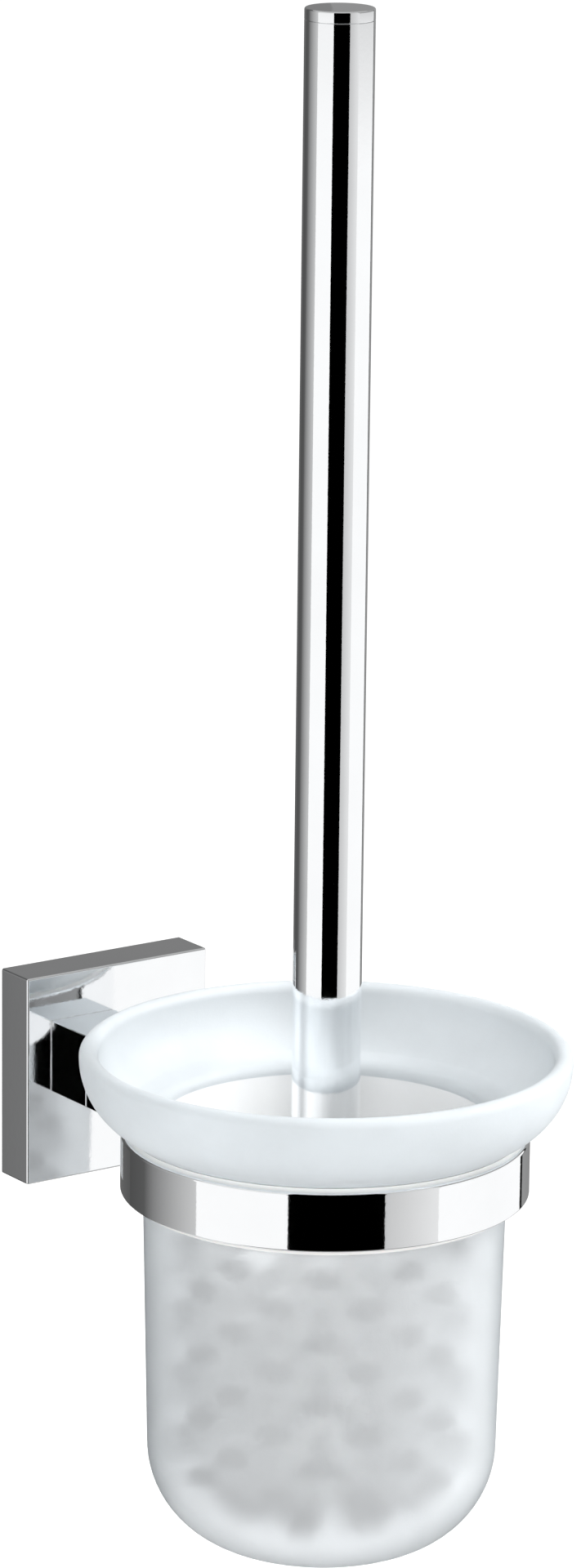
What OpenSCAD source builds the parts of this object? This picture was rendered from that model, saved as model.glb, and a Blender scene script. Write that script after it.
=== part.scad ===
// Wall-mounted toilet brush holder: a square rosette and arm carry a metal ring, a frosted glass
// cup hangs in the ring, and a long-handled brush stands in the cup.
// The origin is the centre of the wall plate, on the wall: -Y points out of the wall and +Z up.

/* [Wall plate and rosette] */
// Side of the square rosette
rosette_w = 52; // [43:1:64]
// Depth of the rosette from the wall
rosette_t = 11.5; // [9.5:0.5:16]
// Side wall of the rosette
rosette_wall = 3; // [2.5:0.1:4]
// Front wall of the rosette
rosette_front = 3; // [2:0.5:4]
// Thickness of the wall plate
plate_t = 5; // [4:0.5:6]
// From the plate's lower edge to the middle of the lower wall screw hole
wall_hole_edge = 5; // [4:0.5:8]
// Diameter of the wall screw holes
wall_hole_d = 4.5; // [3.5:0.5:5.5]

/* [Arm] */
// Side of the square arm
arm_w = 18.2; // [15:0.1:24]
// Length of the post next to the rosette
post_l = 15.7; // [12:0.1:30]
// Length of the arm block beyond the post
block_l = 12.3; // [10.2:0.1:20]
// Step from the arm's side in to the neck that carries the ring
neck_side = 2.8; // [2:0.1:3.5]
// Step from the ring's edge in to the neck's top and underside
neck_step = 1.5; // [1:0.1:2.5]
// Length of the neck on the arm's axis
neck_l = 12.3; // [10.2:0.1:20]

/* [Ring] */
// Outer diameter of the metal ring
ring_d = 95.5; // [79.5:0.5:115]
// Height of the metal ring
ring_h = 14; // [11.5:0.5:20]
// Wall of the metal ring
ring_wall = 2.5; // [2:0.1:4]
// Wall of the plastic liner
liner_wall = 1.4; // [1:0.1:2]
// How far the liner shows below the ring
liner_drop = 1.4; // [0.5:0.1:4]

/* [Glass cup] */
// How far the bowl's rim reaches past the ring
rim_over = 9.75; // [8:0.25:16]
// Height of the bowl above its seat, up to its widest level
bowl_h = 17; // [14:0.5:20]
// Depth of the cup below its seat
cup_depth = 101.3; // [84:0.1:124]
// How much the cup narrows from the seat to its base, on the radius
cup_taper = 1.8; // [0:0.1:3]
// Radius of the rounded edge at the cup's base
base_round = 24; // [16:1:30]
// Wall of the glass
glass_t = 4; // [3:0.1:5]
// Thickness of the glass floor
floor_t = 5; // [4:0.5:8]

/* [Brush] */
// Diameter of the handle tube
tube_d = 16; // [13:0.5:22]
// Wall of the handle tube
tube_wall = 1; // [0.8:0.1:1.5]
// Length of the handle, cap included
handle_l = 275; // [200:1:340]
// Height of the visible part of the end cap
cap_h = 2.8; // [2:0.2:6]
// Gap between the bristles and the glass at the cup's base, on the radius
bristle_gap = 2.4; // [1:0.1:5]
// Diameter of the bristle core
core_d = 24; // [20:0.5:30]
// Height of one row of tufts
row_t = 4.6; // [3:0.1:5.6]

/* [Hidden] */
$fn = 96;

chrome = [0.80, 0.81, 0.82];
steel = [0.62, 0.63, 0.65];
brass = [0.76, 0.62, 0.33];
white = [0.93, 0.93, 0.92];
frosted = [0.80, 0.84, 0.86, 0.75];
bristle = [0.62, 0.64, 0.66];

eps = 0.01;
fit = 0.05;          // radial gap of a screw, pin or sleeve in its hole
joint_gap = 0.02;    // solder gap between the neck and the ring
edge = 0.5;          // bevel on the visible edges of the rosette
arm_edge = 0.25;     // bevel on the edges of the arm

cavity_w = rosette_w - 2 * rosette_wall;
cavity_t = rosette_t - rosette_front;
plate_gap = 0.3;     // between the plate and the rosette's side walls
grub_d = 4;
grub_drop = 5;       // from the cavity's lower wall to the plate
grub_y = -plate_t + grub_d / 2;
grub_recess = 0.4;
boss_w = 9;
boss_h = 3.4;
plate_top = cavity_w / 2 - plate_gap;
plate_bottom = -cavity_w / 2 + grub_drop;
wall_hole_z = -plate_bottom - wall_hole_edge;

screw_d = 5;         // arm screw
screw_head_d = 9;
screw_head_h = 2.8;
plate_relief_d = screw_head_d + 2;  // hole in the plate behind the arm screw's head
screw_grip = 8.5;    // thread in the arm block
washer_t = 1.2;
washer_d = 9.2;
pin_d = 3;
pin_x = (arm_w + screw_d) / 4;      // midway between the screw and the arm's side
pin_l = 4.5;         // depth of a pin in each block

post_y = -rosette_t;
block_y = post_y - post_l;
neck_y = block_y - block_l;
neck_w = arm_w - 2 * neck_side;
neck_h = ring_h - 2 * neck_step;

ring_r = ring_d / 2;
ring_inner_r = ring_r - ring_wall;
ring_y = neck_y - neck_l - ring_r;
ring_top_bevel = 0.8;
ring_low_bevel = 0.4;
liner_flange_t = 0.8;
liner_inset = 1.2;   // flange edge, in from the ring's outer face
liner_outer_r = ring_inner_r - fit;
liner_inner_r = liner_outer_r - liner_wall;

ring_screw_d = 4;
ring_screw_head_r = 3.6;
ring_screw_head_t = 1.6;
ring_screw_l = 11;
ring_screw_recess = 0.15;

seat_gap = 0.2;      // between the liner's flange and the glass
seat_z = ring_h / 2 + liner_flange_t + seat_gap;
cup_gap = 0.9;       // between the liner and the glass, on the radius
cup_r = liner_inner_r - cup_gap;
base_r = cup_r - cup_taper;
cup_z = seat_z - cup_depth;
floor_z = cup_z + floor_t;
foot_r = ring_r - 1.1;
foot_h = 0.6;
rim_r = ring_r + rim_over;
rim_z = seat_z + bowl_h;
lip_r = (glass_t + 0.4) / 2;
throat_round = 3;    // radius where the bowl turns down into the cup

tube_r = tube_d / 2;
bore_r = tube_r - tube_wall;
tube_drop = 13.5;    // from the glass's seat to the lower end of the handle
tube_z = seat_z - tube_drop;
tube_top = tube_z + handle_l - cap_h;
cap_plug_l = 8;
cap_edge = 0.4;
bush_l = 20;
thread_d = 8;        // stud between the handle and the brush head
stud_up = 12;
stud_down = 14;
turn_gap = 0.2;      // between the handle and the head's collar

core_r = core_d / 2;
collar_d = tube_d + 3;
collar_h = 6;
collar_z = tube_z - turn_gap;
head_r = base_r - glass_t - bristle_gap;
row_count = 8;
row_start = collar_z - collar_h - 4;
crown_gap = 1;       // between the crown and the glass
crown_h = 9.8;
crown_z = floor_z + crown_gap;
crown_top = crown_z + crown_h;
core_bottom = crown_z + 6;
row_pitch = (row_start - crown_top) / row_count;

function arc(r, z, radius, from, to, steps) =
    [for (i = [0 : steps]) let (a = from + (to - from) * i / steps)
        [r + radius * cos(a), z + radius * sin(a)]];

// A cylinder along -Y that starts at y
module bar(y, length, radius, x = 0, z = 0, sides = 96) {
    translate([x, y, z]) rotate([90, 0, 0]) cylinder(h = length, r = radius, $fn = sides);
}

// A square with cut corners
module cut_square(w, h, cut) {
    polygon([
        [-w / 2 + cut, -h / 2], [w / 2 - cut, -h / 2], [w / 2, -h / 2 + cut], [w / 2, h / 2 - cut],
        [w / 2 - cut, h / 2], [-w / 2 + cut, h / 2], [-w / 2, h / 2 - cut], [-w / 2, -h / 2 + cut],
    ]);
}

// A bar along -Y from y, with its long edges bevelled
module arm_section(y, length, w, h, cut) {
    translate([0, y, 0]) rotate([90, 0, 0]) linear_extrude(length) cut_square(w, h, cut);
}

// The same with its ends bevelled too
module arm_piece(y, length, w, cut) {
    middle = y - length / 2;
    intersection() {
        arm_section(y, length, w, w, cut);
        translate([-w / 2, middle, 0]) rotate([90, 0, 90]) linear_extrude(w) cut_square(length, w, cut);
        translate([0, middle, -w / 2]) linear_extrude(w) cut_square(w, length, cut);
    }
}

// A profile that turns about the ring's vertical axis
module turned() {
    translate([0, ring_y, 0]) rotate_extrude($fn = 180) children();
}

module on_axis(z) {
    translate([0, ring_y, z]) children();
}

// ---- wall side ----

module wall_plate() {
    color(steel) difference() {
        translate([-plate_top, -plate_t, plate_bottom])
            cube([2 * plate_top, plate_t, plate_top - plate_bottom]);
        for (side = [-1, 1])
            bar(eps, plate_t + 2 * eps, wall_hole_d / 2, z = side * wall_hole_z);
        bar(eps, plate_t + 2 * eps, plate_relief_d / 2);
    }
}

// Outer block of the rosette: its front edges are bevelled and its back edges are square
module rosette_block() {
    half = rosette_w / 2;
    side_outline = [
        [0, -half], [0, half], [-rosette_t + edge, half], [-rosette_t, half - edge],
        [-rosette_t, -half + edge], [-rosette_t + edge, -half],
    ];
    intersection() {
        rotate([90, 0, 0]) linear_extrude(rosette_t) cut_square(rosette_w, rosette_w, edge);
        translate([-half, 0, 0]) rotate([90, 0, 90]) linear_extrude(rosette_w) polygon(side_outline);
        translate([0, 0, -half]) linear_extrude(rosette_w)
            polygon([for (p = side_outline) [p[1], p[0]]]);
    }
}

module rosette() {
    color(chrome) difference() {
        union() {
            difference() {
                rosette_block();
                translate([-cavity_w / 2, -cavity_t, -cavity_w / 2])
                    cube([cavity_w, cavity_t + eps, cavity_w]);
            }
            translate([-boss_w / 2, -plate_t - 1, -cavity_w / 2 - eps])
                cube([boss_w, plate_t + 0.6, boss_h + eps]);
        }
        bar(-cavity_t + eps, rosette_front + 2 * eps, screw_d / 2 + fit);
        for (side = [-1, 1])
            bar(-cavity_t + eps, rosette_front + 2 * eps, pin_d / 2 + fit, x = side * pin_x);
        translate([0, grub_y, -rosette_w / 2 - eps])
            cylinder(h = rosette_wall + boss_h + 2 * eps, d = grub_d + 2 * fit);
    }
}

module grub_screw() {
    bottom = -rosette_w / 2 + grub_recess;
    color(steel) translate([0, grub_y, bottom]) difference() {
        cylinder(h = plate_bottom - bottom, d = grub_d);
        translate([0, 0, -eps]) cylinder(h = 2.4, d = 2.3, $fn = 6);
    }
}

// ---- arm ----

module arm_screw() {
    head_y = -cavity_t + washer_t + screw_head_h;
    shank = rosette_front + washer_t + post_l + screw_grip;
    color(steel) difference() {
        union() {
            bar(head_y, screw_head_h, screw_head_d / 2);
            bar(head_y - screw_head_h, shank, screw_d / 2);
        }
        bar(head_y + eps, 1.8, 1.7, sides = 6);
    }
}

module spring_washer() {
    color(steel) difference() {
        bar(-cavity_t + washer_t, washer_t, washer_d / 2);
        bar(-cavity_t + washer_t + eps, washer_t + 2 * eps, screw_d / 2 + fit);
    }
}

// Two pins keep the post square to the rosette, two keep the arm block square to the post
module locating_pins() {
    color(steel) for (side = [-1, 1]) {
        bar(-cavity_t, rosette_front + pin_l, pin_d / 2, x = side * pin_x);
        bar(block_y + pin_l, 2 * pin_l, pin_d / 2, x = side * pin_x);
    }
}

module pin_holes(y) {
    for (side = [-1, 1])
        bar(y + pin_l + fit, 2 * (pin_l + fit), pin_d / 2 + fit, x = side * pin_x);
}

module post() {
    color(chrome) difference() {
        arm_piece(post_y, post_l, arm_w, arm_edge);
        bar(post_y + eps, post_l + 2 * eps, screw_d / 2 + fit);
        pin_holes(post_y);
        pin_holes(block_y);
    }
}

module arm_block() {
    color(chrome) difference() {
        union() {
            arm_piece(block_y, block_l, arm_w, arm_edge);
            arm_section(neck_y + eps, neck_l + ring_wall, neck_w, neck_h, arm_edge);
        }
        on_axis(-arm_w) cylinder(h = 2 * arm_w, r = ring_r + joint_gap, $fn = 180);
        bar(block_y + eps, screw_grip + 1 + eps, screw_d / 2 + fit);
        pin_holes(block_y);
        bar(ring_y + ring_inner_r + ring_screw_l + 1, ring_screw_l + 1, ring_screw_d / 2 + fit);
    }
}

// ---- ring ----

// Countersunk screw from inside the ring into the neck; grow widens it into its own hole
module ring_screw_shape(grow) {
    head_y = ring_y + ring_inner_r + ring_screw_recess;
    translate([0, head_y, 0]) rotate([-90, 0, 0]) {
        cylinder(h = ring_screw_l, r = ring_screw_d / 2 + grow);
        cylinder(h = ring_screw_head_t + grow, r1 = ring_screw_head_r + grow, r2 = ring_screw_d / 2 + grow);
        if (grow > 0) translate([0, 0, -1]) cylinder(h = 1 + eps, r = ring_screw_head_r + grow);
    }
}

module ring_screw() {
    color(steel) difference() {
        ring_screw_shape(0);
        translate([0, ring_y + ring_inner_r + ring_screw_recess - eps, 0])
            rotate([-90, 0, 0]) cylinder(h = 1.3, d = 2.9, $fn = 6);
    }
}

module ring_band() {
    half = ring_h / 2;
    color(chrome) difference() {
        turned() polygon([
            [ring_inner_r, -half], [ring_r - ring_low_bevel, -half], [ring_r, -half + ring_low_bevel],
            [ring_r, half - ring_top_bevel], [ring_r - ring_top_bevel, half], [ring_inner_r, half],
        ]);
        ring_screw_shape(fit);
    }
}

module ring_liner() {
    half = ring_h / 2;
    color(white) turned() polygon([
        [liner_inner_r, -half - liner_drop], [liner_outer_r, -half - liner_drop],
        [liner_outer_r, half], [ring_r - liner_inset, half],
        [ring_r - liner_inset, half + liner_flange_t], [liner_inner_r, half + liner_flange_t],
    ]);
}

// ---- glass ----

// The bowl is an arc that ends level at its widest point, over a foot that rests on the ring
module glass_cup() {
    side = rim_r - foot_r - foot_h;
    rise = bowl_h - foot_h;
    sweep = 2 * atan(side / rise);
    bowl_r = rise / sin(sweep);
    bowl_c = rim_r - bowl_r;
    inner_r = cup_r - glass_t;
    throat_z = rim_z - (bowl_r - 2 * lip_r) * sin(sweep) - 0.8;
    round = base_round - glass_t;
    color(frosted) turned() polygon(concat(
        [[0, cup_z]],
        arc(base_r - base_round, cup_z + base_round, base_round, -90, 0, 12),
        [[cup_r, seat_z], [foot_r, seat_z]],
        arc(bowl_c, rim_z, bowl_r, -sweep, 0, 12),
        arc(rim_r - lip_r, rim_z, lip_r, 15, 165, 8),
        arc(bowl_c, rim_z, bowl_r - 2 * lip_r, 0, -sweep, 10),
        arc(inner_r + throat_round, throat_z - throat_round, throat_round, 95, 180, 6),
        arc(base_r - glass_t - round, floor_z + round, round, 0, -90, 12),
        [[0, floor_z]]
    ));
}

// ---- handle ----

module handle_tube() {
    color(chrome) on_axis(tube_z) difference() {
        cylinder(h = tube_top - tube_z, r = tube_r);
        translate([0, 0, -eps]) cylinder(h = tube_top - tube_z + 2 * eps, r = bore_r);
    }
}

module handle_cap() {
    color(chrome) on_axis(0) rotate_extrude() polygon([
        [0, tube_top - cap_plug_l], [bore_r - fit, tube_top - cap_plug_l], [bore_r - fit, tube_top],
        [tube_r, tube_top], [tube_r, tube_top + cap_h - cap_edge],
        [tube_r - cap_edge, tube_top + cap_h], [0, tube_top + cap_h],
    ]);
}

module handle_bush() {
    color(brass) on_axis(tube_z) difference() {
        cylinder(h = bush_l, r = bore_r - fit);
        translate([0, 0, -eps]) cylinder(h = stud_up + 2, d = thread_d + 2 * fit);
    }
}

// ---- brush head ----

module stud() {
    color(steel) on_axis(collar_z - stud_down)
        cylinder(h = stud_down + turn_gap + stud_up, d = thread_d);
}

module brush_core() {
    color(white) on_axis(0) difference() {
        union() {
            translate([0, 0, core_bottom]) cylinder(h = collar_z - core_bottom, r = core_r);
            translate([0, 0, collar_z - collar_h]) cylinder(h = collar_h, d = collar_d);
        }
        translate([0, 0, collar_z - stud_down]) cylinder(h = stud_down + eps, d = thread_d);
    }
}

// One row of tufts, as the ring of space that its bristles fill
module bristle_row(index) {
    top = row_start - (index - 1) * row_pitch;
    color(bristle) on_axis(top - row_t) difference() {
        cylinder(h = row_t, r = head_r);
        translate([0, 0, -eps]) cylinder(h = row_t + 2 * eps, r = core_r + fit);
    }
}

// The tufts under the core fan out into a rounded end, which follows the inside of the cup's base
module bristle_crown() {
    round = base_round - glass_t;
    centre_r = base_r - base_round;
    centre_z = floor_z + round;
    crown_r = round - crown_gap;
    start = -asin((centre_z - crown_top) / crown_r);
    color(bristle) on_axis(0) difference() {
        rotate_extrude() polygon(concat(
            [[0, crown_top]],
            arc(centre_r, centre_z, crown_r, start, -90, 12),
            [[0, crown_z]]
        ));
        translate([0, 0, core_bottom - fit]) cylinder(h = crown_top - core_bottom + 1, r = core_r + fit);
    }
}

wall_plate();
rosette();
grub_screw();
arm_screw();
spring_washer();
locating_pins();
post();
arm_block();
ring_screw();
ring_band();
ring_liner();
glass_cup();
handle_tube();
handle_cap();
handle_bush();
stud();
brush_core();
bristle_row(1);  // bristle_row_1
bristle_row(2);  // bristle_row_2
bristle_row(3);  // bristle_row_3
bristle_row(4);  // bristle_row_4
bristle_row(5);  // bristle_row_5
bristle_row(6);  // bristle_row_6
bristle_row(7);  // bristle_row_7
bristle_row(8);  // bristle_row_8
bristle_crown();
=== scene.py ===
"""Looks of a wall-mounted toilet brush holder: chrome rosette, arm and ring, frosted glass cup, tufted brush.

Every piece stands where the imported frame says. The frame's origin is on the wall behind the rosette, -Y points
out of the wall and +Z up. All lengths are in metres.
"""
import math
import random

import bmesh
import bpy
from mathutils import Matrix, Vector


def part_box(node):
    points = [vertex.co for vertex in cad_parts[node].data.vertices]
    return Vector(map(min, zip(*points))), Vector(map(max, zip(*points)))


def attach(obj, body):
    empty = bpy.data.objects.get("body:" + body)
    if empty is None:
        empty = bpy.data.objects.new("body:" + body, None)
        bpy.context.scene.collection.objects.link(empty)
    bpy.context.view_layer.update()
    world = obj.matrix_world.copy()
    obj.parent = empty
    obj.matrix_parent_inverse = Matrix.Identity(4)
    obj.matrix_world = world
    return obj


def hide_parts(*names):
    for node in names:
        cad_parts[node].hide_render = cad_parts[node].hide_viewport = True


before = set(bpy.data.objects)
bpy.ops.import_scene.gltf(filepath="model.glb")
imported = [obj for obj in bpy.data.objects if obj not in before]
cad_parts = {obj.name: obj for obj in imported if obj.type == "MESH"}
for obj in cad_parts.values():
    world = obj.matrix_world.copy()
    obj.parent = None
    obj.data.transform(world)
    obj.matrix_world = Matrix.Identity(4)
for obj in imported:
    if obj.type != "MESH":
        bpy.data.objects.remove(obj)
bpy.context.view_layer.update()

bl_info = {
    "name": "Toilet Brush Holder",
    "version": (1, 0, 0),
    "blender": (4, 5, 0),
    "location": "View3D > Sidebar > Brush Holder",
    "description": "Builds a chrome and frosted glass toilet brush holder around its mechanical frame",
    "category": "Object",
}

MM = 0.001
TINY = 0.01 * MM
UP, BACK = Vector((0, 0, 1)), Vector((0, 1, 0))
GOLDEN_TURN = math.pi * (3 - math.sqrt(5))
ROW_COUNT = 8

RING_LOW, RING_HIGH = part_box("ring_band")
LINER_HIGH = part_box("ring_liner")[1]
GLASS_LOW, GLASS_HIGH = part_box("glass_cup")
TUBE_LOW, TUBE_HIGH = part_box("handle_tube")
CAP_LOW, CAP_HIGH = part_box("handle_cap")
CORE_LOW, CORE_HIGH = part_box("brush_core")
CORE_R = (CORE_HIGH.x - CORE_LOW.x) / 2
AXIS = Vector(((GLASS_LOW.x + GLASS_HIGH.x) / 2, (RING_LOW.y + RING_HIGH.y) / 2, 0.0))
RING_R = (RING_HIGH.y - RING_LOW.y) / 2
TUBE_R = (TUBE_HIGH.x - TUBE_LOW.x) / 2
THROAT_END = RING_LOW.z - 2.4 * MM

# Radii of the bores: the arm's screw, the ring's screw and the grub screw, the ring screw's head, the pins
ARM_BORE, SMALL_BORE, HEAD_BORE, PIN_BORE = 2.55 * MM, 2.05 * MM, 3.65 * MM, 1.55 * MM
# How far a tuft spreads along its row and across it, against its tip's radius
TUFT_WIDE, TUFT_HIGH = 1.55, 0.95
# Heights between which the reflection cards stand
TENT_LOW, TENT_HIGH = -1.2, 1.0


# ----------------------------------------
# Sizes and colours that a user may change
# ----------------------------------------

def length(name, description, default, low, high):
    """A length property in metres."""
    return bpy.props.FloatProperty(
        name=name, description=description, default=default, min=low, max=high, unit="LENGTH", precision=4
    )


def tint(name, description, default):
    """A colour property."""
    return bpy.props.FloatVectorProperty(
        name=name, description=description, default=default, size=3, min=0.0, max=1.0, subtype="COLOR"
    )


def share(name, description, default, low=0.0, high=1.0):
    """A plain number property."""
    return bpy.props.FloatProperty(name=name, description=description, default=default, min=low, max=high)


class MetalSettings(bpy.types.PropertyGroup):
    """Sizes and colours of the metal pieces"""

    chrome_colour: tint("Chrome", "Colour of the plated metal", (0.93, 0.94, 0.95))
    chrome_roughness: share("Chrome roughness", "How soft the reflections of the plating are", 0.035)
    plate_colour: tint("Plate", "Colour of the die-cast wall plate", (0.46, 0.47, 0.48))
    steel_colour: tint("Steel", "Colour of the screws and pins", (0.52, 0.53, 0.55))
    brass_colour: tint("Brass", "Colour of the threaded insert", (0.72, 0.50, 0.22))
    edge_round: length("Edge rounding", "Radius on the edges of the rosette", 0.55 * MM, 0.1 * MM, 1.2 * MM)
    arm_round: length("Arm rounding", "Radius on the edges of the arm", 0.28 * MM, 0.1 * MM, 0.6 * MM)
    ring_round: length("Ring rounding", "Radius on the ring's upper edge", 0.8 * MM, 0.2 * MM, 1.2 * MM)
    rosette_wall: length("Rosette wall", "Side and front wall of the rosette", 3.0 * MM, 2.0 * MM, 4.0 * MM)
    neck_w: length("Neck width", "Width of the neck behind the ring", 12.6 * MM, 8.0 * MM, 16.0 * MM)
    neck_h: length("Neck height", "Height of the neck behind the ring", 11.0 * MM, 8.0 * MM, 13.0 * MM)
    ring_wall: length("Ring wall", "Wall of the ring", 2.5 * MM, 2.0 * MM, 4.0 * MM)
    tube_wall: length("Tube wall", "Wall of the handle", 1.0 * MM, 0.6 * MM, 2.0 * MM)


class GlassSettings(bpy.types.PropertyGroup):
    """Sizes and finish of the glass cup"""

    colour: tint("Glass", "Colour of the frosted glass", (0.95, 0.975, 0.995))
    edge_colour: tint("Glass edge", "Colour of the glass looked at along its wall", (0.52, 0.57, 0.60))
    roughness: share("Frosting", "How far the etched surface scatters light", 0.34)
    clearness: share("Clearness", "Share of the light that passes the etched cup", 0.64)
    inner_colour: tint("Inner glass", "Colour of the smooth inside of the cup", (0.93, 0.945, 0.955))
    # Painted light: the throat gets whiter, less clear glass than the rest of the inside, which lifts the shade in
    # it
    throat_colour: tint("Throat glass", "Colour of the thick glass of the throat", (0.97, 0.98, 0.985))
    bowl_colour: tint("Bowl glass", "Colour of the milky bowl", (0.76, 0.80, 0.825))
    bowl_clearness: share("Bowl clearness", "Share of the light that passes the bowl", 0.45)
    wall: length("Wall", "Thickness of the blown wall", 4.0 * MM, 2.5 * MM, 5.0 * MM)
    floor: length("Floor", "Thickness of the floor", 5.0 * MM, 3.0 * MM, 8.0 * MM)
    lip: length("Lip", "Radius of the fire-polished lip", 2.2 * MM, 1.2 * MM, 2.5 * MM)
    foot_inset: length("Foot inset", "From the ring's outside to the bowl's foot", 1.1 * MM, 0.5 * MM, 3.0 * MM)
    cup_gap: length("Cup gap", "Gap between the liner and the cup", 0.9 * MM, 0.5 * MM, 2.0 * MM)
    taper: length("Taper", "How much the cup narrows towards its base", 1.8 * MM, 0.0, 3.0 * MM)
    base_round: length("Base rounding", "Radius of the cup's lower edge", 24.0 * MM, 16.0 * MM, 30.0 * MM)


class BrushSettings(bpy.types.PropertyGroup):
    """Sizes and colours of the brush and the plastics"""

    # Painted shade: the dark tip colour stands for the shade where the tufts come close to the glass; the nylon
    # itself has the pale root colour
    bristle_colour: tint("Bristles", "Colour of the nylon filament at its tips", (0.03, 0.033, 0.036))
    root_colour: tint("Bristle roots", "Colour of the filament near the core", (0.95, 0.96, 0.96))
    plastic_colour: tint("Plastic", "Colour of the core and the liner", (0.86, 0.86, 0.85))
    tufts: bpy.props.IntProperty(name="Tufts", description="Tufts in one row", default=10, min=6, max=14)
    filaments: bpy.props.IntProperty(
        name="Filaments", description="Filaments in one tuft", default=36, min=12, max=80
    )
    filament_r: length("Filament", "Radius of one filament", 0.16 * MM, 0.08 * MM, 0.3 * MM)
    tuft_root: length("Tuft root", "Radius of a tuft at the core", 1.7 * MM, 1.0 * MM, 2.5 * MM)
    tuft_tip: length("Tuft tip", "Radius of a tuft at its tips", 3.1 * MM, 2.0 * MM, 7.0 * MM)
    tuft_proud: length("Tuft reach", "How far the tips pass the row's own ring", 2.1 * MM, 0.0, 2.3 * MM)


class StageSettings(bpy.types.PropertyGroup):
    """The camera and the room round the object"""

    azimuth: share("Camera azimuth", "Degrees round the object from its front", -34.98, -180.0, 180.0)
    elevation: share("Camera elevation", "Degrees above the horizon", 14.52, -89.0, 89.0)
    roll: share("Camera roll", "Degrees that the camera leans", 0.67, -10.0, 10.0)
    distance: length("Camera distance", "From the lens to the point that it looks at", 1.6, 0.5, 4.0)
    lens: share("Lens", "Focal length in millimetres", 150.1, 30.0, 300.0)
    aim: bpy.props.FloatVectorProperty(
        name="Aim", description="Point that the camera looks at", default=(0.0463, -0.0176, 0.0660), size=3,
        subtype="TRANSLATION",
    )
    tent_radius: length("Tent radius", "Distance of the reflection cards", 0.9, 0.5, 2.0)
    floor_drop: length("Floor drop", "From the cup's base to the floor", 0.55, 0.05, 1.5)


SETTINGS = {
    "holder_metal": MetalSettings,
    "holder_glass": GlassSettings,
    "holder_brush": BrushSettings,
    "holder_stage": StageSettings,
}


# -------------------------------------
# Node groups that several finishes use
# -------------------------------------

def new_group(name, inputs, outputs):
    """A node group that holds its sockets and no nodes yet."""
    group = bpy.data.node_groups.new(name, "ShaderNodeTree")
    for label, kind, value in inputs:
        socket = group.interface.new_socket(name=label, in_out="INPUT", socket_type=kind)
        if value is not None:
            socket.default_value = value
    for label, kind in outputs:
        group.interface.new_socket(name=label, in_out="OUTPUT", socket_type=kind)
    return group


def add(tree, kind, values=None, **settings):
    """A node of a tree, with its settings and the values of its unlinked inputs."""
    made = tree.nodes.new(kind)
    for key, value in settings.items():
        setattr(made, key, value)
    for key, value in (values or {}).items():
        made.inputs[key].default_value = value
    return made


def wire(tree, *pairs):
    """Links written as (from node, output, to node, input)."""
    for source, out, target, into in pairs:
        tree.links.new(source.outputs[out], target.inputs[into])


def grain_group():
    """Fine specks at two scales: a height for Bump and a roughness that changes over the surface."""
    tree = new_group(
        "fine_grain",
        [("Scale", "NodeSocketFloat", 900.0), ("Roughness", "NodeSocketFloat", 0.4),
         ("Variation", "NodeSocketFloat", 0.1)],
        [("Height", "NodeSocketFloat"), ("Roughness", "NodeSocketFloat")],
    )
    inp, out = add(tree, "NodeGroupInput"), add(tree, "NodeGroupOutput")
    place = add(tree, "ShaderNodeTexCoord")
    fine = add(tree, "ShaderNodeTexNoise", {"Detail": 4.0, "Roughness": 0.6})
    broad_scale = add(tree, "ShaderNodeMath", {1: 0.04}, operation="MULTIPLY")
    broad = add(tree, "ShaderNodeTexNoise", {"Detail": 3.0, "Roughness": 0.55})
    spread = add(tree, "ShaderNodeMapRange", {"To Min": -0.5, "To Max": 0.5})
    change = add(tree, "ShaderNodeMath", operation="MULTIPLY_ADD")
    wire(
        tree,
        (place, "Object", fine, "Vector"), (inp, "Scale", fine, "Scale"),
        (inp, "Scale", broad_scale, 0), (place, "Object", broad, "Vector"), (broad_scale, 0, broad, "Scale"),
        (broad, 0, spread, "Value"), (spread, 0, change, 0), (inp, "Variation", change, 1),
        (inp, "Roughness", change, 2), (fine, 0, out, "Height"), (change, 0, out, "Roughness"),
    )
    return tree


def hairline_group():
    """Hairlines that run round or along a part: a stretched noise as a height and a roughness."""
    tree = new_group(
        "hairlines",
        [("Stretch", "NodeSocketVector", (60.0, 60.0, 4000.0)), ("Roughness", "NodeSocketFloat", 0.3),
         ("Variation", "NodeSocketFloat", 0.15)],
        [("Height", "NodeSocketFloat"), ("Roughness", "NodeSocketFloat")],
    )
    inp, out = add(tree, "NodeGroupInput"), add(tree, "NodeGroupOutput")
    place = add(tree, "ShaderNodeTexCoord")
    stretch = add(tree, "ShaderNodeVectorMath", operation="MULTIPLY")
    lines = add(tree, "ShaderNodeTexNoise", {"Scale": 1.0, "Detail": 5.0, "Roughness": 0.65})
    spread = add(tree, "ShaderNodeMapRange", {"To Min": -0.5, "To Max": 0.5})
    change = add(tree, "ShaderNodeMath", operation="MULTIPLY_ADD")
    wire(
        tree,
        (place, "Object", stretch, 0), (inp, "Stretch", stretch, 1), (stretch, 0, lines, "Vector"),
        (lines, 0, spread, "Value"), (spread, 0, change, 0), (inp, "Variation", change, 1),
        (inp, "Roughness", change, 2), (lines, 0, out, "Height"), (change, 0, out, "Roughness"),
    )
    return tree


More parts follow.
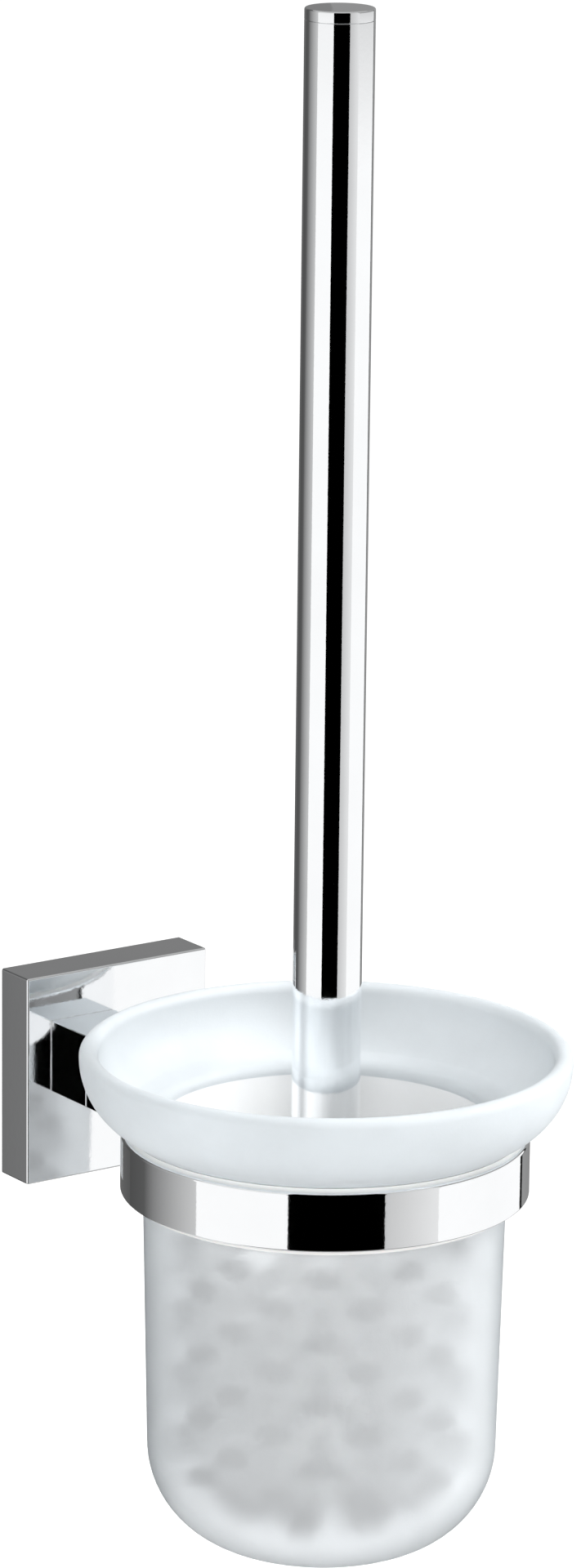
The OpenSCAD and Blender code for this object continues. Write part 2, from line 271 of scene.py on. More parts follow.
def shade_group():
    """Slow drift of a colour between two values, as casting, moulding and use leave it."""
    tree = new_group(
        "colour_drift",
        [("Colour", "NodeSocketColor", (0.8, 0.8, 0.8, 1.0)), ("Dark", "NodeSocketFloat", 0.9),
         ("Scale", "NodeSocketFloat", 60.0)],
        [("Colour", "NodeSocketColor")],
    )
    inp, out = add(tree, "NodeGroupInput"), add(tree, "NodeGroupOutput")
    place = add(tree, "ShaderNodeTexCoord")
    cloud = add(tree, "ShaderNodeTexNoise", {"Detail": 5.0, "Roughness": 0.6})
    level = add(tree, "ShaderNodeMapRange", {"From Min": 0.3, "From Max": 0.7, "To Max": 1.0})
    shade = add(tree, "ShaderNodeMix", data_type="RGBA", blend_type="MULTIPLY", clamp_factor=True)
    shade.inputs[0].default_value = 1.0
    wire(
        tree,
        (place, "Object", cloud, "Vector"), (inp, "Scale", cloud, "Scale"), (cloud, 0, level, "Value"),
        (inp, "Dark", level, "To Min"), (inp, "Colour", shade, 6), (level, 0, shade, 7), (shade, 2, out, "Colour"),
    )
    return tree


def tip_group():
    """How near the tips of the bristles a point is: 0 at their roots, 1 at their tips."""
    tree = new_group(
        "tip_reach",
        [("Root", "NodeSocketFloat", 0.02), ("Tip", "NodeSocketFloat", 0.03), ("End", "NodeSocketFloat", -0.05)],
        [("Mask", "NodeSocketFloat")],
    )
    inp, out = add(tree, "NodeGroupInput"), add(tree, "NodeGroupOutput")
    place = add(tree, "ShaderNodeTexCoord")
    middle = add(tree, "ShaderNodeVectorMath", {1: AXIS}, operation="SUBTRACT")
    axes = add(tree, "ShaderNodeSeparateXYZ")
    below = add(tree, "ShaderNodeMath", operation="SUBTRACT")
    under = add(tree, "ShaderNodeMath", {1: 0.0}, operation="MINIMUM")
    deep = add(tree, "ShaderNodeMath", {1: 1.6}, operation="MULTIPLY")
    point = add(tree, "ShaderNodeCombineXYZ")
    reach = add(tree, "ShaderNodeVectorMath", operation="LENGTH")
    level = add(tree, "ShaderNodeMapRange", interpolation_type="SMOOTHSTEP")
    wire(
        tree,
        (place, "Object", middle, 0), (middle, 0, axes, 0), (axes, 2, below, 0), (inp, "End", below, 1),
        (below, 0, under, 0), (under, 0, deep, 0), (axes, 0, point, 0), (axes, 1, point, 1), (deep, 0, point, 2),
        (point, 0, reach, 0), (reach, "Value", level, "Value"), (inp, "Root", level, "From Min"),
        (inp, "Tip", level, "From Max"), (level, 0, out, "Mask"),
    )
    return tree


GROUP_MAKERS = {"grain": grain_group, "hairlines": hairline_group, "drift": shade_group, "tips": tip_group}
GROUPS = {}


def group_node(tree, name, **values):
    """A shared node group placed in a material with its own values; its first use builds it."""
    if name not in GROUPS:
        GROUPS[name] = GROUP_MAKERS[name]()
    node = tree.nodes.new("ShaderNodeGroup")
    node.node_tree = GROUPS[name]
    for key, value in values.items():
        node.inputs[key].default_value = value
    return node


def rgba(colour):
    """A colour with full alpha."""
    return (*colour[:3], 1.0)


def new_finish(name, **sockets):
    """A material with one Principled shader, its plain sockets set."""
    material = bpy.data.materials.new(name)
    material.use_nodes = True
    tree = material.node_tree
    shader = tree.nodes["Principled BSDF"]
    for key, value in sockets.items():
        shader.inputs[key.replace("_", " ")].default_value = value
    return material, tree, shader


def surface(tree, shader, pattern, drift, strength, depth):
    """Connects a pattern's roughness and relief and a drifting colour to a shader."""
    bump = add(tree, "ShaderNodeBump", {"Strength": strength, "Distance": depth})
    wire(
        tree,
        (pattern, "Roughness", shader, "Roughness"), (drift, "Colour", shader, "Base Color"),
        (pattern, "Height", bump, "Height"), (bump, "Normal", shader, "Normal"),
    )


# --------
# Finishes
# --------

def metal_finish(name, colour, dark, scale, relief, pattern, **values):
    """Metal with a drifting colour, and a pattern that sets its relief (strength, depth) and roughness."""
    material, tree, shader = new_finish(name, Metallic=1.0)
    drift = group_node(tree, "drift", Colour=rgba(colour), Dark=dark, Scale=scale)
    surface(tree, shader, group_node(tree, pattern, **values), drift, *relief)
    return material


def bright_chrome(metal):
    """Mirror plating, with the faint waviness and dust of polished castings."""
    return metal_finish(
        "bright_chrome", metal.chrome_colour, 0.965, 45.0, (0.012, 0.0004),
        "grain", Scale=700.0, Roughness=metal.chrome_roughness, Variation=0.03,
    )


def cast_plate(metal):
    """Tumbled zinc of the wall plate."""
    return metal_finish(
        "cast_plate", metal.plate_colour, 0.72, 120.0, (0.35, 0.0003),
        "grain", Scale=1500.0, Roughness=0.42, Variation=0.25,
    )


def turned_steel(metal):
    """Turned and zinc-plated steel of the screws and pins."""
    return metal_finish(
        "turned_steel", metal.steel_colour, 0.8, 300.0, (0.3, 0.0001),
        "hairlines", Stretch=(180.0, 2600.0, 180.0), Roughness=0.28, Variation=0.25,
    )


def turned_brass(metal):
    """Machined brass of the threaded insert."""
    return metal_finish(
        "turned_brass", metal.brass_colour, 0.75, 150.0, (0.3, 0.0001),
        "hairlines", Stretch=(90.0, 90.0, 3200.0), Roughness=0.25, Variation=0.2,
    )


def moulded_plastic(brush, name, roughness):
    """White injection-moulded plastic with a light bloom."""
    material, tree, shader = new_finish(name, Subsurface_Weight=0.08, Subsurface_Scale=0.002, IOR=1.5)
    grain = group_node(tree, "grain", Scale=2200.0, Roughness=roughness, Variation=0.12)
    drift = group_node(tree, "drift", Colour=rgba(brush.plastic_colour), Dark=0.94, Scale=90.0)
    surface(tree, shader, grain, drift, 0.15, 0.0002)
    return material


def etched(name, colour, dark, clearness, roughness):
    """Glass with an etched surface; its clearness is the share of the light that passes."""
    material, tree, shader = new_finish(name, Transmission_Weight=clearness, IOR=1.5)
    grain = group_node(tree, "grain", Scale=1800.0, Roughness=roughness, Variation=0.08)
    drift = group_node(tree, "drift", Colour=rgba(colour), Dark=dark, Scale=55.0)
    surface(tree, shader, grain, drift, 0.12, 0.0002)
    return material, tree, shader, drift


def cup_glass(glass):
    """The outside of the cup, which scatters what is seen through it and is deeper in colour along its edge."""
    material, tree, shader, drift = etched("cup_glass", glass.colour, 0.95, glass.clearness, glass.roughness)
    facing = add(tree, "ShaderNodeLayerWeight", {"Blend": 0.35})
    deep = add(tree, "ShaderNodeMix", data_type="RGBA")
    deep.inputs[7].default_value = rgba(glass.edge_colour)
    wire(tree, (facing, "Facing", deep, 0), (drift, "Colour", deep, 6), (deep, 2, shader, "Base Color"))
    return material


def bowl_glass(glass):
    """The bowl, etched on both sides, which leaves it milky."""
    return etched("bowl_glass", glass.bowl_colour, 0.93, glass.bowl_clearness, 0.5)[0]


def throat_painted_light(glass):
    """Where the bowl turns down into the cup: the thickest glass, made whiter and less clear as painted light that
    lifts the shade in the throat.
    """
    return etched("throat_painted_light", glass.throat_colour, 0.96, 0.15, 0.5)[0]


def inner_glass(glass):
    """The inside of the cup below the bowl, which the acid doesn't reach."""
    material, tree, shader = new_finish("inner_glass", Transmission_Weight=1.0, IOR=1.5)
    grain = group_node(tree, "grain", Scale=600.0, Roughness=0.05, Variation=0.04)
    drift = group_node(tree, "drift", Colour=rgba(glass.inner_colour), Dark=0.97, Scale=40.0)
    surface(tree, shader, grain, drift, 0.05, 0.0001)
    return material


def nylon(brush):
    """White nylon filament, with painted shade that darkens its tips where the tufts come close to the glass."""
    material, tree, shader = new_finish("nylon_filament", Specular_IOR_Level=0.25, IOR=1.53)
    grain = group_node(tree, "grain", Scale=3000.0, Roughness=0.45, Variation=0.2)
    low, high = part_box("bristle_row_1")
    tip = (high.x - low.x) / 2
    # The painted shade on the tips sets in over 4 mm before them; below End it follows the rounded crown.
    tips = group_node(tree, "tips", Root=tip - 5.5 * MM, Tip=tip - 1.5 * MM, End=low.z - 46.0 * MM)
    colour = add(tree, "ShaderNodeMix", data_type="RGBA")
    colour.inputs[6].default_value = rgba(brush.root_colour)
    # The tips take the painted shade colour, the roots the white nylon
    colour.inputs[7].default_value = rgba(brush.bristle_colour)
    drift = group_node(tree, "drift", Dark=0.7, Scale=260.0)
    wire(tree, (tips, "Mask", colour, 0), (colour, 2, drift, "Colour"))
    surface(tree, shader, grain, drift, 0.1, 0.0001)
    return material


# -----------------
# Modelling helpers
# -----------------

def deselect():
    """Nothing stays selected, in object mode."""
    if bpy.context.object and bpy.context.object.mode != "OBJECT":
        bpy.ops.object.mode_set(mode="OBJECT")
    bpy.ops.object.select_all(action="DESELECT")


def pick(*objects):
    """Selects the objects, the last one active."""
    deselect()
    for obj in objects:
        obj.select_set(True)
    bpy.context.view_layer.objects.active = objects[-1]


def settle(obj, name, material):
    """Applies an object's place to its mesh, names it and gives it its finish."""
    pick(obj)
    bpy.ops.object.transform_apply()
    obj.name = name
    obj.data.name = name
    obj.data.materials.clear()
    obj.data.materials.append(material)
    return obj


def arc(centre_r, centre_z, radius, start, end, steps):
    """Points of an arc in the (r, z) half-plane, with angles in degrees from the outward direction."""
    turn = [math.radians(start + (end - start) * i / steps) for i in range(steps + 1)]
    return [(centre_r + radius * math.cos(a), centre_z + radius * math.sin(a)) for a in turn]


def turned_piece(name, outline, segments, material, closed=True):
    """Lathes an outline of (r, z) points round the ring's axis."""
    deselect()
    bpy.ops.mesh.primitive_plane_add(size=MM, location=(AXIS.x, AXIS.y, 0.0))
    obj = bpy.context.object
    in_edit(obj, "VERT")
    bpy.ops.mesh.select_all(action="SELECT")
    bpy.ops.mesh.merge(type="CENTER")
    start = Vector((outline[0][0], 0.0, outline[0][1]))
    bpy.ops.transform.translate(value=start)
    points = outline[1:] + ([outline[0]] if closed else [])
    for r, z in points:
        step = Vector((r, 0.0, z)) - start
        bpy.ops.mesh.extrude_region_move(TRANSFORM_OT_translate={"value": step})
        start = Vector((r, 0.0, z))
    bpy.ops.mesh.select_all(action="SELECT")
    bpy.ops.mesh.spin(
        steps=segments, angle=2 * math.pi, center=(AXIS.x, AXIS.y, 0.0), axis=(0.0, 0.0, 1.0), dupli=False
    )
    bpy.ops.mesh.select_all(action="SELECT")
    bpy.ops.mesh.remove_doubles(threshold=0.005 * MM)
    bpy.ops.mesh.normals_make_consistent(inside=False)
    shade(obj)
    return settle(obj, name, material)


def block(low, high):
    """A box between two corners, with its place in its mesh."""
    deselect()
    bpy.ops.mesh.primitive_cube_add(size=1.0, location=(low + high) / 2, scale=high - low)
    bpy.ops.object.transform_apply()
    return bpy.context.object


def in_edit(obj, kind):
    """Enters edit mode with nothing selected, to pick vertices or edges, and gives the mesh."""
    pick(obj)
    bpy.ops.object.mode_set(mode="EDIT")
    bpy.ops.mesh.select_mode(type=kind)
    bpy.ops.mesh.select_all(action="DESELECT")
    return bmesh.from_edit_mesh(obj.data)


def select_edges(obj, wanted):
    """Selects the edges whose two ends pass a test."""
    mesh = in_edit(obj, "EDGE")
    for edge in mesh.edges:
        if wanted(edge.verts[0].co, edge.verts[1].co):
            edge.select_set(True)
    bmesh.update_edit_mesh(obj.data)


def round_all(obj, radius):
    """Rounds every edge of a block."""
    select_edges(obj, lambda a, b: True)
    bpy.ops.mesh.bevel(offset=radius, segments=3, profile=0.5, affect="EDGES")
    bpy.ops.object.mode_set(mode="OBJECT")


def combine(obj, tool, operation):
    """Joins a solid to an object or cuts it away, and drops the tool."""
    pick(obj)
    change = obj.modifiers.new("combine", "BOOLEAN")
    change.operation, change.solver, change.object = operation, "EXACT", tool
    bpy.ops.object.modifier_apply(modifier=change.name)
    bpy.data.objects.remove(tool)


def bore(obj, start, direction, depth, radius, sides=48):
    """Drills a round hole from a point along a direction."""
    deselect()
    turn = UP.rotation_difference(direction).to_euler()
    bpy.ops.mesh.primitive_cylinder_add(
        vertices=sides, radius=radius, depth=depth, location=start + direction * depth / 2, rotation=turn
    )
    combine(obj, bpy.context.object, "DIFFERENCE")


def shade(obj):
    """Smooth roundings beside faces that stay flat."""
    pick(obj)
    bpy.ops.object.shade_smooth_by_angle(angle=math.radians(32))
    even = obj.modifiers.new("even", "WEIGHTED_NORMAL")
    even.weight, even.keep_sharp = 100, True
    bpy.ops.object.modifier_apply(modifier=even.name)


def place_piece(piece, node, body):
    """Says which node a piece stands for and the body that it rides on."""
    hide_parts(node)
    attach(piece, body)


# ------
# Pieces
# ------

class PieceOperator:
    """What the operators of this file share."""

    bl_options = {"REGISTER", "UNDO"}

    def settings(self, name):
        return getattr(bpy.context.scene, name)


def finish_nodes(material, *nodes):
    """Gives nodes of the frame a finish of their own."""
    for node in nodes:
        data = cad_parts[node].data
        for index in range(len(data.materials)):
            data.materials[index] = material


def pin_place():
    """How far the locating pins stand from the middle of the arm."""
    low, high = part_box("locating_pins")
    return high.x - (high.z - low.z) / 2


def metal_of(scene, finish):
    """A metal finish, made once and shared by the pieces."""
    if finish.__name__ not in bpy.data.materials:
        finish(scene.holder_metal)
    return bpy.data.materials[finish.__name__]


class HOLDER_OT_hardware(PieceOperator, bpy.types.Operator):
    """Finishes the wall plate, the screws, the pins and the threaded insert"""

    bl_idname = "holder.hardware"
    bl_label = "Hardware"

    def execute(self, context):
        finish_nodes(metal_of(context.scene, cast_plate), "wall_plate")
        finish_nodes(
            metal_of(context.scene, turned_steel),
            "grub_screw", "arm_screw", "spring_washer", "locating_pins", "ring_screw", "stud",
        )
        finish_nodes(metal_of(context.scene, turned_brass), "handle_bush")
        return {"FINISHED"}


class HOLDER_OT_rosette(PieceOperator, bpy.types.Operator):
    """Presses the hollow square rosette, with rounded edges and its bores"""

    bl_idname = "holder.rosette"
    bl_label = "Rosette"

    def execute(self, context):
        metal = self.settings("holder_metal")
        low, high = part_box("rosette")
        wall = metal.rosette_wall
        piece = block(low, high)
        select_edges(piece, lambda a, b: a.y < low.y + TINY or b.y < low.y + TINY or abs(a.y - b.y) > TINY)
        bpy.ops.mesh.bevel(offset=metal.edge_round, segments=4, profile=0.5, affect="EDGES")
        bpy.ops.object.mode_set(mode="OBJECT")
        walls = Vector((wall, wall, wall))
        combine(piece, block(low + walls, high + Vector((-wall, MM, -wall))), "DIFFERENCE")
        grub_low, grub_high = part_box("grub_screw")
        boss = block(
            Vector((-4.5 * MM, grub_low.y - 1.0 * MM, low.z + wall - 0.1 * MM)),
            Vector((4.5 * MM, grub_high.y + 0.6 * MM, low.z + wall + 3.4 * MM)),
        )
        combine(piece, boss, "UNION")
        middle = (grub_low + grub_high) / 2
        bore(piece, Vector((middle.x, middle.y, low.z - MM)), UP, 8.0 * MM, SMALL_BORE)
        pin = pin_place()
        for x, radius in ((0.0, ARM_BORE), (-pin, PIN_BORE), (pin, PIN_BORE)):
            bore(piece, Vector((x, low.y - MM, 0.0)), BACK, wall + 2 * MM, radius)
        shade(piece)
        settle(piece, "rosette_shell", metal_of(context.scene, bright_chrome))
        place_piece(piece, "rosette", "holder")
        return {"FINISHED"}


class HOLDER_OT_arm(PieceOperator, bpy.types.Operator):
    """Mills the post and the arm block, with the neck that carries the ring"""

    bl_idname = "holder.arm"
    bl_label = "Arm"

    def execute(self, context):
        metal = self.settings("holder_metal")
        chrome = metal_of(context.scene, bright_chrome)
        low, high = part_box("post")
        post = block(low, high)
        round_all(post, metal.arm_round)
        self.drill(post, low.y, high.y)
        shade(post)
        settle(post, "post_block", chrome)
        place_piece(post, "post", "holder")

        low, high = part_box("arm_block")
        neck_y = RING_HIGH.y + 12.3 * MM
        arm = block(Vector((low.x, neck_y, low.z)), high)
        round_all(arm, metal.arm_round)
        half_w, half_h = metal.neck_w / 2, metal.neck_h / 2
        neck = block(Vector((-half_w, low.y - 2 * MM, -half_h)), Vector((half_w, neck_y + MM, half_h)))
        round_all(neck, metal.arm_round)
        combine(arm, neck, "UNION")
        bore(arm, Vector((AXIS.x, AXIS.y, -20 * MM)), UP, 40 * MM, RING_R + 0.02 * MM, 256)
        self.drill(arm, high.y - 9.5 * MM, high.y, pins=(high.y,))
        bore(arm, Vector((0.0, RING_HIGH.y - 3 * MM, 0.0)), BACK, 12.5 * MM, SMALL_BORE)
        shade(arm)
        settle(arm, "arm_block_and_neck", chrome)
        place_piece(arm, "arm_block", "holder")
        return {"FINISHED"}

    def drill(self, piece, low_y, high_y, pins=None):
        """The screw's bore, and the blind holes of the locating pins at both ends."""
        bore(piece, Vector((0.0, low_y - MM, 0.0)), BACK, high_y - low_y + 2 * MM, ARM_BORE)
        for end in pins or (low_y, high_y):
            for x in (-pin_place(), pin_place()):
                bore(piece, Vector((x, end - 4.55 * MM, 0.0)), BACK, 9.1 * MM, PIN_BORE)


class HOLDER_OT_ring(PieceOperator, bpy.types.Operator):
    """Turns the metal ring with its rounded edges and the countersunk screw hole"""

    bl_idname = "holder.ring"
    bl_label = "Ring"

    def execute(self, context):
        metal = self.settings("holder_metal")
        outer, inner = RING_R, RING_R - metal.ring_wall
        upper, lower = metal.ring_round, metal.ring_round / 2
        low, high = RING_LOW.z, RING_HIGH.z
        outline = (
            [(inner, low)]
            + arc(outer - lower, low + lower, lower, -90, 0, 5)
            + arc(outer - upper, high - upper, upper, 0, 90, 7)
            + [(inner, high)]
        )
        piece = turned_piece("ring_band_turned", outline, 180, metal_of(context.scene, bright_chrome))
        start = Vector((0.0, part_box("ring_screw")[0].y - MM, 0.0))
        bore(piece, start, BACK, 6 * MM, SMALL_BORE)
        bore(piece, start, BACK, MM, HEAD_BORE)
        shade(piece)
        place_piece(piece, "ring_band", "holder")
        return {"FINISHED"}


class HOLDER_OT_handle(PieceOperator, bpy.types.Operator):
    """Draws the handle tube and turns its end cap"""

    bl_idname = "holder.handle"
    bl_label = "Handle"

    def execute(self, context):
        metal = self.settings("holder_metal")
        chrome = metal_of(context.scene, bright_chrome)
        outer, inner = TUBE_R, TUBE_R - metal.tube_wall
        low, high = TUBE_LOW.z, TUBE_HIGH.z
        ease = 0.15 * MM
        outline = (
            [(inner, low)] + arc(outer - ease, low + ease, ease, -90, 0, 3)
            + arc(outer - ease, high - ease, ease, 0, 90, 3) + [(inner, high)]
        )
        tube = turned_piece("handle_tube_drawn", outline, 96, chrome)
        place_piece(tube, "handle_tube", "handle")

        plug, top = CAP_LOW.z, CAP_HIGH.z
        rim, crown, fit_r = 0.45 * MM, 0.12 * MM, inner - 0.05 * MM
        outline = (
            [(0.0, plug), (inner - 0.3 * MM, plug), (fit_r, plug + 0.4 * MM), (fit_r, high)]
            + arc(outer - ease, high + ease, ease, -90, 0, 3)
            + arc(outer - rim, top - crown - rim, rim, 0, 82, 6)
            + [(outer * 0.5, top - 0.02 * MM), (0.0, top)]
        )
        cap = turned_piece("handle_cap_turned", outline, 96, chrome, closed=False)
        place_piece(cap, "handle_cap", "handle")
        return {"FINISHED"}


class HOLDER_OT_plastics(PieceOperator, bpy.types.Operator):
    """Moulds the ring's liner and the brush's core"""

    bl_idname = "holder.plastics"
    bl_label = "Plastics"

    def execute(self, context):
        brush = self.settings("holder_brush")
        finish_nodes(moulded_plastic(brush, "liner_moulding", 0.35), "ring_liner")
        low, high = CORE_LOW, CORE_HIGH
        collar_r, collar_h, socket_r, socket_z = TUBE_R + 1.5 * MM, 6.0 * MM, 4.02 * MM, high.z - 14 * MM
        shoulder = high.z - collar_h
        ease = 0.8 * MM
        outline = (
            [(0.0, low.z), (CORE_R - 2 * ease, low.z)]
            + arc(CORE_R - ease, low.z + ease, ease, -80, 0, 5)
            + arc(CORE_R - ease, shoulder - ease, ease, 0, 90, 5)
            + [(collar_r, shoulder), (collar_r, high.z - 3.4 * MM), (collar_r - 0.5 * MM, high.z - 3.1 * MM),
               (collar_r - 0.5 * MM, high.z - 2.5 * MM), (collar_r, high.z - 2.2 * MM)]
            + arc(collar_r - ease, high.z - ease, ease, 0, 90, 5)
            + [(socket_r, high.z), (socket_r, socket_z), (0.0, socket_z)]
        )
        finish = moulded_plastic(brush, "core_moulding", 0.28)
        core = turned_piece("brush_core_moulded", outline, 72, finish, closed=False)
        place_piece(core, "brush_core", "brush_head")
        return {"FINISHED"}


def cup_outline(glass):
    """The (r, z) outline of the glass, from the middle of its base round to the middle of its floor."""
    rim_r = (GLASS_HIGH.x - GLASS_LOW.x) / 2
    rim_z = GLASS_HIGH.z - glass.lip
    foot_r = RING_R - glass.foot_inset
    seat_z = LINER_HIGH.z + 0.2 * MM
    liner_wall = 1.4 * MM
    sleeve_r = RING_R - 2.55 * MM
    cup_r = sleeve_r - liner_wall - glass.cup_gap
    base_r = cup_r - glass.taper
    foot_h = 0.6 * MM
    side, rise = rim_r - foot_r - foot_h, rim_z - seat_z - foot_h
    sweep = 2 * math.degrees(math.atan(side / rise))
    bowl = rise / math.sin(math.radians(sweep))
    bowl_c = rim_r - bowl
    inner_r = cup_r - glass.wall
    throat = 3.0 * MM
    throat_z = rim_z - (bowl - 2 * glass.lip) * math.sin(math.radians(sweep)) - 0.8 * MM
    low, floor_z = GLASS_LOW.z, GLASS_LOW.z + glass.floor
    inner_round = glass.base_round - glass.wall
    return (
        [(0.0, low)]
        + arc(base_r - glass.base_round, low + glass.base_round, glass.base_round, -90, 0, 20)
        + [(cup_r - 0.3 * MM, seat_z - 8 * MM), (cup_r, seat_z - 0.4 * MM)]
        + [(cup_r + 0.4 * MM, seat_z), (foot_r, seat_z)]
        + arc(bowl_c, rim_z, bowl, -sweep, 0, 22)
        + arc(rim_r - glass.lip, rim_z, glass.lip, 12, 168, 12)
        + arc(bowl_c, rim_z, bowl - 2 * glass.lip, 0, -sweep, 18)
        + arc(inner_r + throat, throat_z - throat, throat, 95, 180, 8)
        + [(inner_r - 0.2 * glass.taper, THROAT_END)]
        + arc(base_r - glass.wall - inner_round, floor_z + inner_round, inner_round, 0, -90, 20)
        + [(0.0, floor_z)]
    )


class HOLDER_OT_glass(PieceOperator, bpy.types.Operator):
    """Blows the frosted glass cup with its bowl, foot and rounded base"""

    bl_idname = "holder.glass"
    bl_label = "Glass cup"

    def execute(self, context):
        glass = self.settings("holder_glass")
        piece = turned_piece("glass_cup_frosted", cup_outline(glass), 144, cup_glass(glass), closed=False)
        inner, bowl, throat = 1, 2, 3
        for finish in (inner_glass, bowl_glass, throat_painted_light):
            piece.data.materials.append(finish(glass))
        for face in piece.data.polygons:
            outward = (face.center - AXIS) * Vector((1.0, 1.0, 0.0))
            inside = face.normal.dot(outward) < 0 or (face.normal.z > 0.3 and face.center.z < 0)
            if face.center.z > RING_HIGH.z:
                face.material_index = bowl
            elif inside:
                # The inside of the throat takes the whiter glass, painted light that lifts its shade; below it the
                # clear inner glass
                face.material_index = throat if face.center.z > THROAT_END - 0.1 * MM else inner
        place_piece(piece, "glass_cup", "glass")
        return {"FINISHED"}


class HOLDER_OT_bristles(PieceOperator, bpy.types.Operator):
    """Sets the rows of tufts into the core, and the fan of tufts on its end"""

    bl_idname = "holder.bristles"
    bl_label = "Bristles"

    def execute(self, context):
        brush = self.settings("holder_brush")
        material = nylon(brush)
        draw = random.Random(7)
        for row in range(1, ROW_COUNT + 1):
            node = f"bristle_row_{row}"
            low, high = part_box(node)
            reach = (high.x - low.x) / 2 + brush.tuft_proud
            level = (low.z + high.z) / 2
            source = one_filament(brush.filament_r, reach - CORE_R, material)
            meshes = []
            for tuft in range(brush.tufts):
                turn = 2 * math.pi * (tuft + (row % 2) / 2) / brush.tufts
                outward = Vector((math.cos(turn), math.sin(turn), 0.0))
                root = AXIS + outward * (CORE_R - 0.8 * MM) + Vector((0.0, 0.0, level))
                tip = AXIS + outward * reach + Vector((0.0, 0.0, level))
                meshes += tuft_meshes(brush, source, root, tip, draw)
            piece = join_meshes(source, meshes, f"{node}_tufts", material)
            place_piece(piece, node, "brush_head")
        self.crown(brush, material, draw)
        return {"FINISHED"}

    def crown(self, brush, material, draw):
        """Tufts that fan out under the core, down to the rounded end of the brush."""
        low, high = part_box("bristle_crown")
        widest = (high.x - low.x) / 2
        round_r = 18.0 * MM
        source = one_filament(brush.filament_r, widest - CORE_R, material)
        meshes = []
        # Each ring of tufts: its share of the widest radius, the slope of its tips in degrees, and its tufts
        for share_out, slope, count in ((0.98, -28, 10), (0.88, -50, 10), (0.62, -90, 10), (0.25, -90, 5)):
            for tuft in range(count):
                turn = 2 * math.pi * (tuft + 0.25) / count
                outward = Vector((math.cos(turn), math.sin(turn), 0.0))
                drop = round_r * (1 + math.sin(math.radians(slope)))
                root = AXIS + outward * CORE_R * share_out * 0.8 + Vector((0.0, 0.0, CORE_LOW.z + 1.5 * MM))
                tip = AXIS + outward * widest * share_out + Vector((0.0, 0.0, low.z + drop))
                meshes += tuft_meshes(brush, source, root, tip, draw)
        piece = join_meshes(source, meshes, "bristle_crown_tufts", material)
        place_piece(piece, "bristle_crown", "brush_head")


def one_filament(radius, reach, material):
    """A four-sided filament along +X, cut into short lengths so that it can bend."""
    deselect()
    bpy.ops.mesh.primitive_cylinder_add(
        vertices=4, radius=radius, depth=reach, end_fill_type="TRIFAN", location=(reach / 2, 0.0, 0.0),
        rotation=(0.0, math.pi / 2, 0.0),
    )
    obj = bpy.context.object
    obj.name = "filament"
    bpy.ops.object.transform_apply()
    for part in (0.33, 0.67):
        in_edit(obj, "VERT")
        bpy.ops.mesh.select_all(action="SELECT")
        bpy.ops.mesh.bisect(plane_co=(reach * part, 0.0, 0.0), plane_no=(1.0, 0.0, 0.0))
        bpy.ops.object.mode_set(mode="OBJECT")
    obj.data.materials.append(material)
    return obj


def bent_copy(source, root, tip, sag):
    """A copy of a filament's mesh that runs from root to tip, with a light bend."""
    mesh = source.data.copy()
    line = tip - root
    reach = max(v.co.x for v in source.data.vertices)
    turn = Vector((1.0, 0.0, 0.0)).rotation_difference(line.normalized()).to_matrix().to_4x4()
    for vertex in mesh.vertices:
        along = vertex.co.x / reach
        vertex.co.x = along * line.length
        vertex.co.z += sag * math.sin(math.pi * along)
    mesh.transform(Matrix.Translation(root) @ turn)
    return mesh


def tuft_meshes(brush, source, root, tip, draw):
    """The filaments of one tuft: a tight root in the core, and tips spread over a rounded end."""
    line = (tip - root).normalized()
    aside = line.cross(Vector((0.0, 0.0, 1.0)))
    aside = aside.normalized() if aside.length > 0.1 else Vector((1.0, 0.0, 0.0))
    across = aside.cross(line)
    made = []
    for index in range(brush.filaments):
        angle = index * GOLDEN_TURN
        ring = math.sqrt((index + 0.5) / brush.filaments)
        spread = aside * math.cos(angle) + across * math.sin(angle)
        # The outer filaments of a tuft are trimmed shorter
        short = 2.2 * MM * ring * ring + draw.uniform(0.0, 0.9) * MM
        foot = root + spread * ring * brush.tuft_root
        wide = aside * math.cos(angle) * TUFT_WIDE + across * math.sin(angle) * TUFT_HIGH
        end = tip - line * short + wide * ring * brush.tuft_tip * draw.uniform(0.85, 1.1)
        made.append(bent_copy(source, foot, end, draw.uniform(-0.5, 0.5) * MM))
    return made


def join_meshes(source, meshes, name, material):
    """One object from many meshes; the source it was copied from goes away."""
    deselect()
    parts = []
    for mesh in meshes:
        obj = bpy.data.objects.new(name, mesh)
        bpy.context.scene.collection.objects.link(obj)
        parts.append(obj)
    pick(*parts)
    bpy.ops.object.join()
    piece = bpy.context.object
    bpy.ops.object.shade_smooth()
    bpy.data.objects.remove(source)
    return settle(piece, name, material)


# -----
# Stage
# -----

# Cards round the object: name, start and end in degrees from the camera's side (to its right is positive), the
# brightness at both ends, and the share of it that is left above the horizon. Dark cards give the plating its
# black bands, bright ones its white fields.
CARDS = (
    ("far_left", -180, -140, 0.16, 0.10, 1.4),
    ("side_left", -140, -120, 0.08, 0.10, 1.0),
    ("edge_left", -120, -110, 0.10, 0.23, 1.0),
    ("left", -110, -75, 0.23, 0.60, 1.0),
    ("soft_left", -75, -20, 1.05, 1.05, 0.8),
    ("flag_front", -20, 33, 0.0, 0.0, 1.0),
    ("near_right", 33, 65, 0.60, 0.84, 0.9),
    ("soft_right", 65, 140, 1.05, 1.05, 0.36),
    ("flag_right", 140, 144, 0.01, 0.01, 1.0),
    ("far_right", 144, 180, 0.31, 0.24, 1.2),
)


